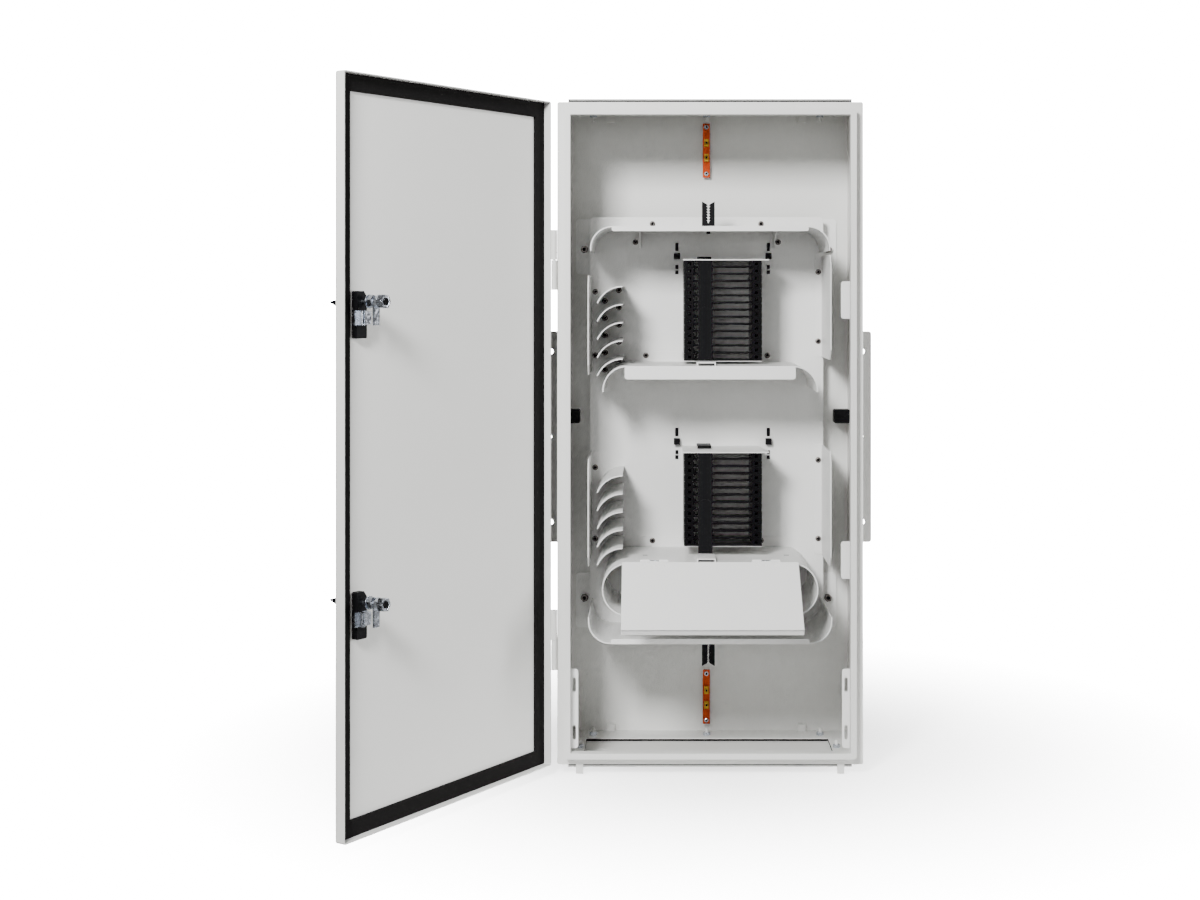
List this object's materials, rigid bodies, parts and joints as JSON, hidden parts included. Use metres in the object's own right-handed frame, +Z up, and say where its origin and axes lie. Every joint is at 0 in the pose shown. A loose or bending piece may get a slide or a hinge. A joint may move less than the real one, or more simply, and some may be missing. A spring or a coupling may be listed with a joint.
{
  "type": "optical splice enclosure",
  "caption": "Wall-mounted sheet-metal cabinet with a sealed hinged door, turn latches, fibre tray stacks, bend fingers, slack drum and cable entry plates.",
  "frame": {"origin": "centre of the cabinet's rear face, on the wall plane", "axes": "+X right seen from the front, +Y into the wall, +Z up; the front faces -Y"},
  "size_m": [0.718, 0.5521, 0.936],
  "materials": {
    "black_plastic": "black moulded nylon",
    "brass": "plain brass",
    "copper_bar": "copper bar",
    "grey_powder_coat": "light grey powder coat, satin",
    "seal_foam": "black closed-cell foam",
    "strap_fabric": "black hook-and-loop webbing",
    "tray_plastic": "black moulded ABS",
    "white_powder_coat": "pale grey powder coat on the inner fittings, satin",
    "zinc_plate": "bright zinc plating"
  },
  "bodies": {
    "cabinet": {"bottom_gland_plate": "grey_powder_coat", "bottom_gland_seal": "seal_foam", "cabinet_body": "grey_powder_coat", "chassis_nuts": "zinc_plate", "chassis_plate": "white_powder_coat", "cover_hinge_leaves": "white_powder_coat", "cover_hinge_pins": "zinc_plate", "drum_lower_half": "white_powder_coat", "drum_upper_half": "white_powder_coat", "gland_nuts": "zinc_plate", "ground_terminals": "brass", "hinge_body_leaves": "grey_powder_coat", "hinge_pins": "zinc_plate", "left_mounting_wing": "grey_powder_coat", "lower_bend_fingers": "white_powder_coat", "lower_cable_clamp": "black_plastic", "lower_ground_bar": "copper_bar", "lower_left_guard": "white_powder_coat", "lower_right_guard": "white_powder_coat", "lower_splice_trays": "tray_plastic", "lower_strike": "white_powder_coat", "lower_tray_rack": "white_powder_coat", "lower_tray_strap": "strap_fabric", "middle_shelf": "white_powder_coat", "panel_screws": "zinc_plate", "rack_clips": "black_plastic", "right_mounting_wing": "grey_powder_coat", "slack_cradle": "white_powder_coat", "tie_brackets": "white_powder_coat", "top_gland_plate": "grey_powder_coat", "top_gland_seal": "seal_foam", "top_shelf": "white_powder_coat", "top_shelf_gussets": "white_powder_coat", "upper_bend_fingers": "white_powder_coat", "upper_cable_clamp": "black_plastic", "upper_ground_bar": "copper_bar", "upper_left_guard": "white_powder_coat", "upper_right_guard": "white_powder_coat", "upper_splice_trays": "tray_plastic", "upper_strike": "white_powder_coat", "upper_tray_rack": "white_powder_coat", "upper_tray_strap": "strap_fabric", "wall_clips": "black_plastic"},
    "door": {"door_panel": "grey_powder_coat", "door_seal": "seal_foam", "hinge_door_leaves": "grey_powder_coat", "upper_latch_housing": "black_plastic", "upper_latch_bracket": "zinc_plate", "lower_latch_housing": "black_plastic", "lower_latch_bracket": "zinc_plate"},
    "cover": {"drum_cover": "white_powder_coat"},
    "upper_latch": {"upper_latch_shaft": "zinc_plate", "upper_latch_cam": "zinc_plate", "upper_latch_nuts": "zinc_plate", "upper_latch_handle": "black_plastic"},
    "lower_latch": {"lower_latch_shaft": "zinc_plate", "lower_latch_cam": "zinc_plate", "lower_latch_nuts": "zinc_plate", "lower_latch_handle": "black_plastic"}
  },
  "joints": [
    {"name": "door_swing", "type": "hinge", "parent": "cabinet", "child": "door", "pos_m": [-0.216, -0.1904, 0], "axis": [0, 0, 1], "range_deg": [-58, 122]},
    {"name": "cover_hinge", "type": "hinge", "parent": "cabinet", "child": "cover", "pos_m": [0, -0.1885, -0.1775], "axis": [1, 0, 0], "range_deg": [-25, 52]},
    {"name": "upper_latch_turn", "type": "hinge", "parent": "door", "child": "upper_latch", "pos_m": [-0.43562, -0.51187, 0.1845], "axis": [-0.848, 0.5299, 0], "range_deg": [0, 90]},
    {"name": "lower_latch_turn", "type": "hinge", "parent": "door", "child": "lower_latch", "pos_m": [-0.43562, -0.51187, -0.177], "axis": [-0.848, 0.5299, 0], "range_deg": [0, 90]}
  ],
  "couplings": [
    {"joint": "cover_hinge", "follows": "door_swing", "ratio": 0.4262}
  ]
}
